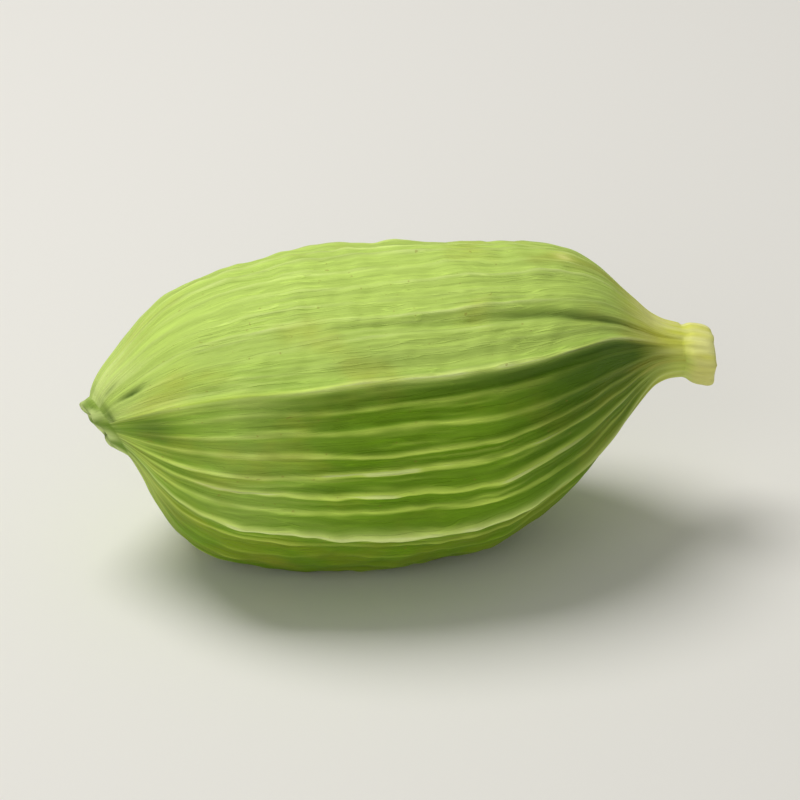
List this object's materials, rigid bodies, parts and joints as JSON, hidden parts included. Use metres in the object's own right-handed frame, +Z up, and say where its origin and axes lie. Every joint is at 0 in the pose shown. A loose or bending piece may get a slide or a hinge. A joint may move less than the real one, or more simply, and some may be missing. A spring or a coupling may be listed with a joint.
{
  "type": "green cardamom pod",
  "caption": "Dried green cardamom pod with lengthwise ribs, a keeled three-sided husk, a withered flower collar at one end and a cut stalk stub at the other.",
  "frame": {"origin": "on the surface that the pod lies on, under the middle of its box", "axes": "+X along the pod from its apex to its stalk, +Z up from its flat spot, -Y towards its front face"},
  "size_m": [0.0158, 0.0084, 0.0079],
  "materials": {
    "husk": "matt dry plant fibre, pale green on the rib crests and darker in the grooves"
  },
  "bodies": {
    "root": {"cardamom_pod": "husk"}
  },
  "joints": []
}
